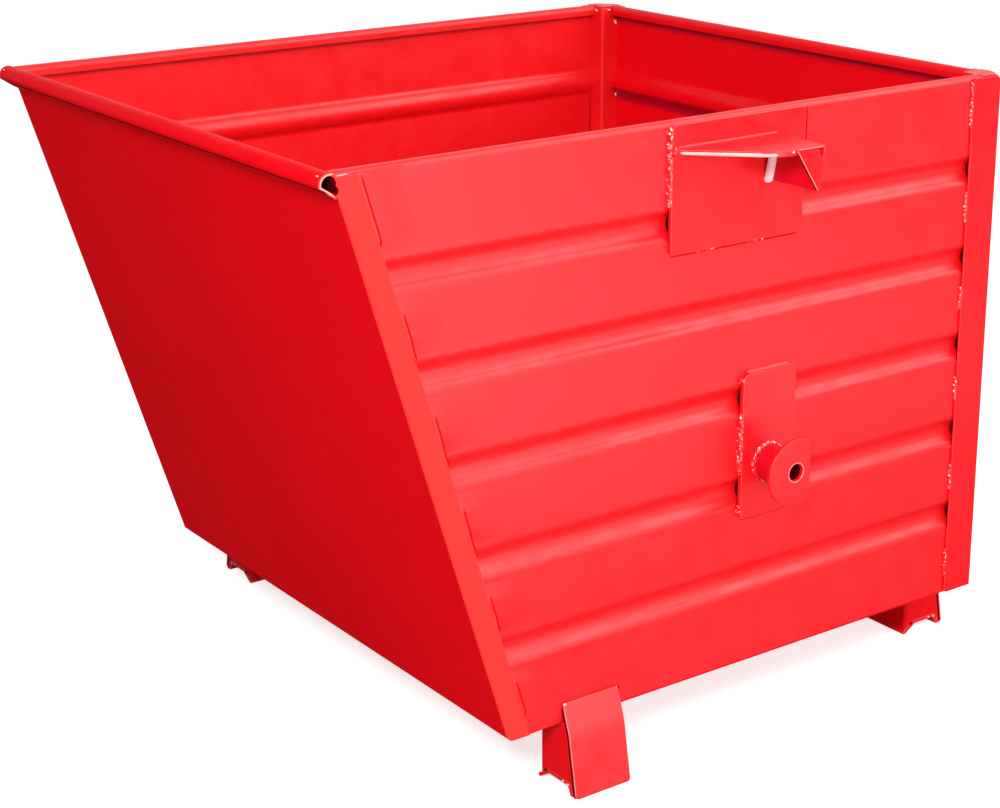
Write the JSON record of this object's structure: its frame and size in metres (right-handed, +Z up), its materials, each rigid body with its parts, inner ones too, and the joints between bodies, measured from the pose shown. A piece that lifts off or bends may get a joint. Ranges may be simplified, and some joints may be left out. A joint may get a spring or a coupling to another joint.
{
  "type": "tipping hopper",
  "caption": "Stackable sheet-steel tipping hopper with swaged walls, sloped pouring front, rolled lip, trunnions, latch ramps and fork-height feet.",
  "frame": {"origin": "middle of the overall box, on the ground", "axes": "+X out of the right-hand trunnion, +Y towards the upright rear wall, +Z up"},
  "size_m": [0.978, 1.0136, 0.778],
  "materials": {
    "red_paint": "gloss"
  },
  "bodies": {
    "root": {"front_floor_sheet": "red_paint", "rear_wall": "red_paint", "side_wall_right": "red_paint", "side_wall_left": "red_paint", "corner_post_right": "red_paint", "corner_post_left": "red_paint", "corner_angle_right": "red_paint", "corner_angle_left": "red_paint", "corner_cap_right": "red_paint", "corner_cap_left": "red_paint", "trunnion_plate_right": "red_paint", "trunnion_plate_left": "red_paint", "trunnion_stub_right": "red_paint", "trunnion_stub_left": "red_paint", "trunnion_disc_right": "red_paint", "trunnion_disc_left": "red_paint", "latch_plate_right": "red_paint", "latch_plate_left": "red_paint", "latch_ramp_right": "red_paint", "latch_ramp_left": "red_paint", "latch_gusset_right": "red_paint", "latch_gusset_left": "red_paint", "foot_front_channel_right": "red_paint", "foot_front_channel_left": "red_paint", "foot_front_saddle_right": "red_paint", "foot_front_saddle_left": "red_paint", "foot_front_guide_right": "red_paint", "foot_front_guide_left": "red_paint", "foot_rear_channel_right": "red_paint", "foot_rear_channel_left": "red_paint", "foot_rear_saddle_right": "red_paint", "foot_rear_saddle_left": "red_paint", "foot_rear_guide_right": "red_paint", "foot_rear_guide_left": "red_paint"}
  },
  "joints": []
}
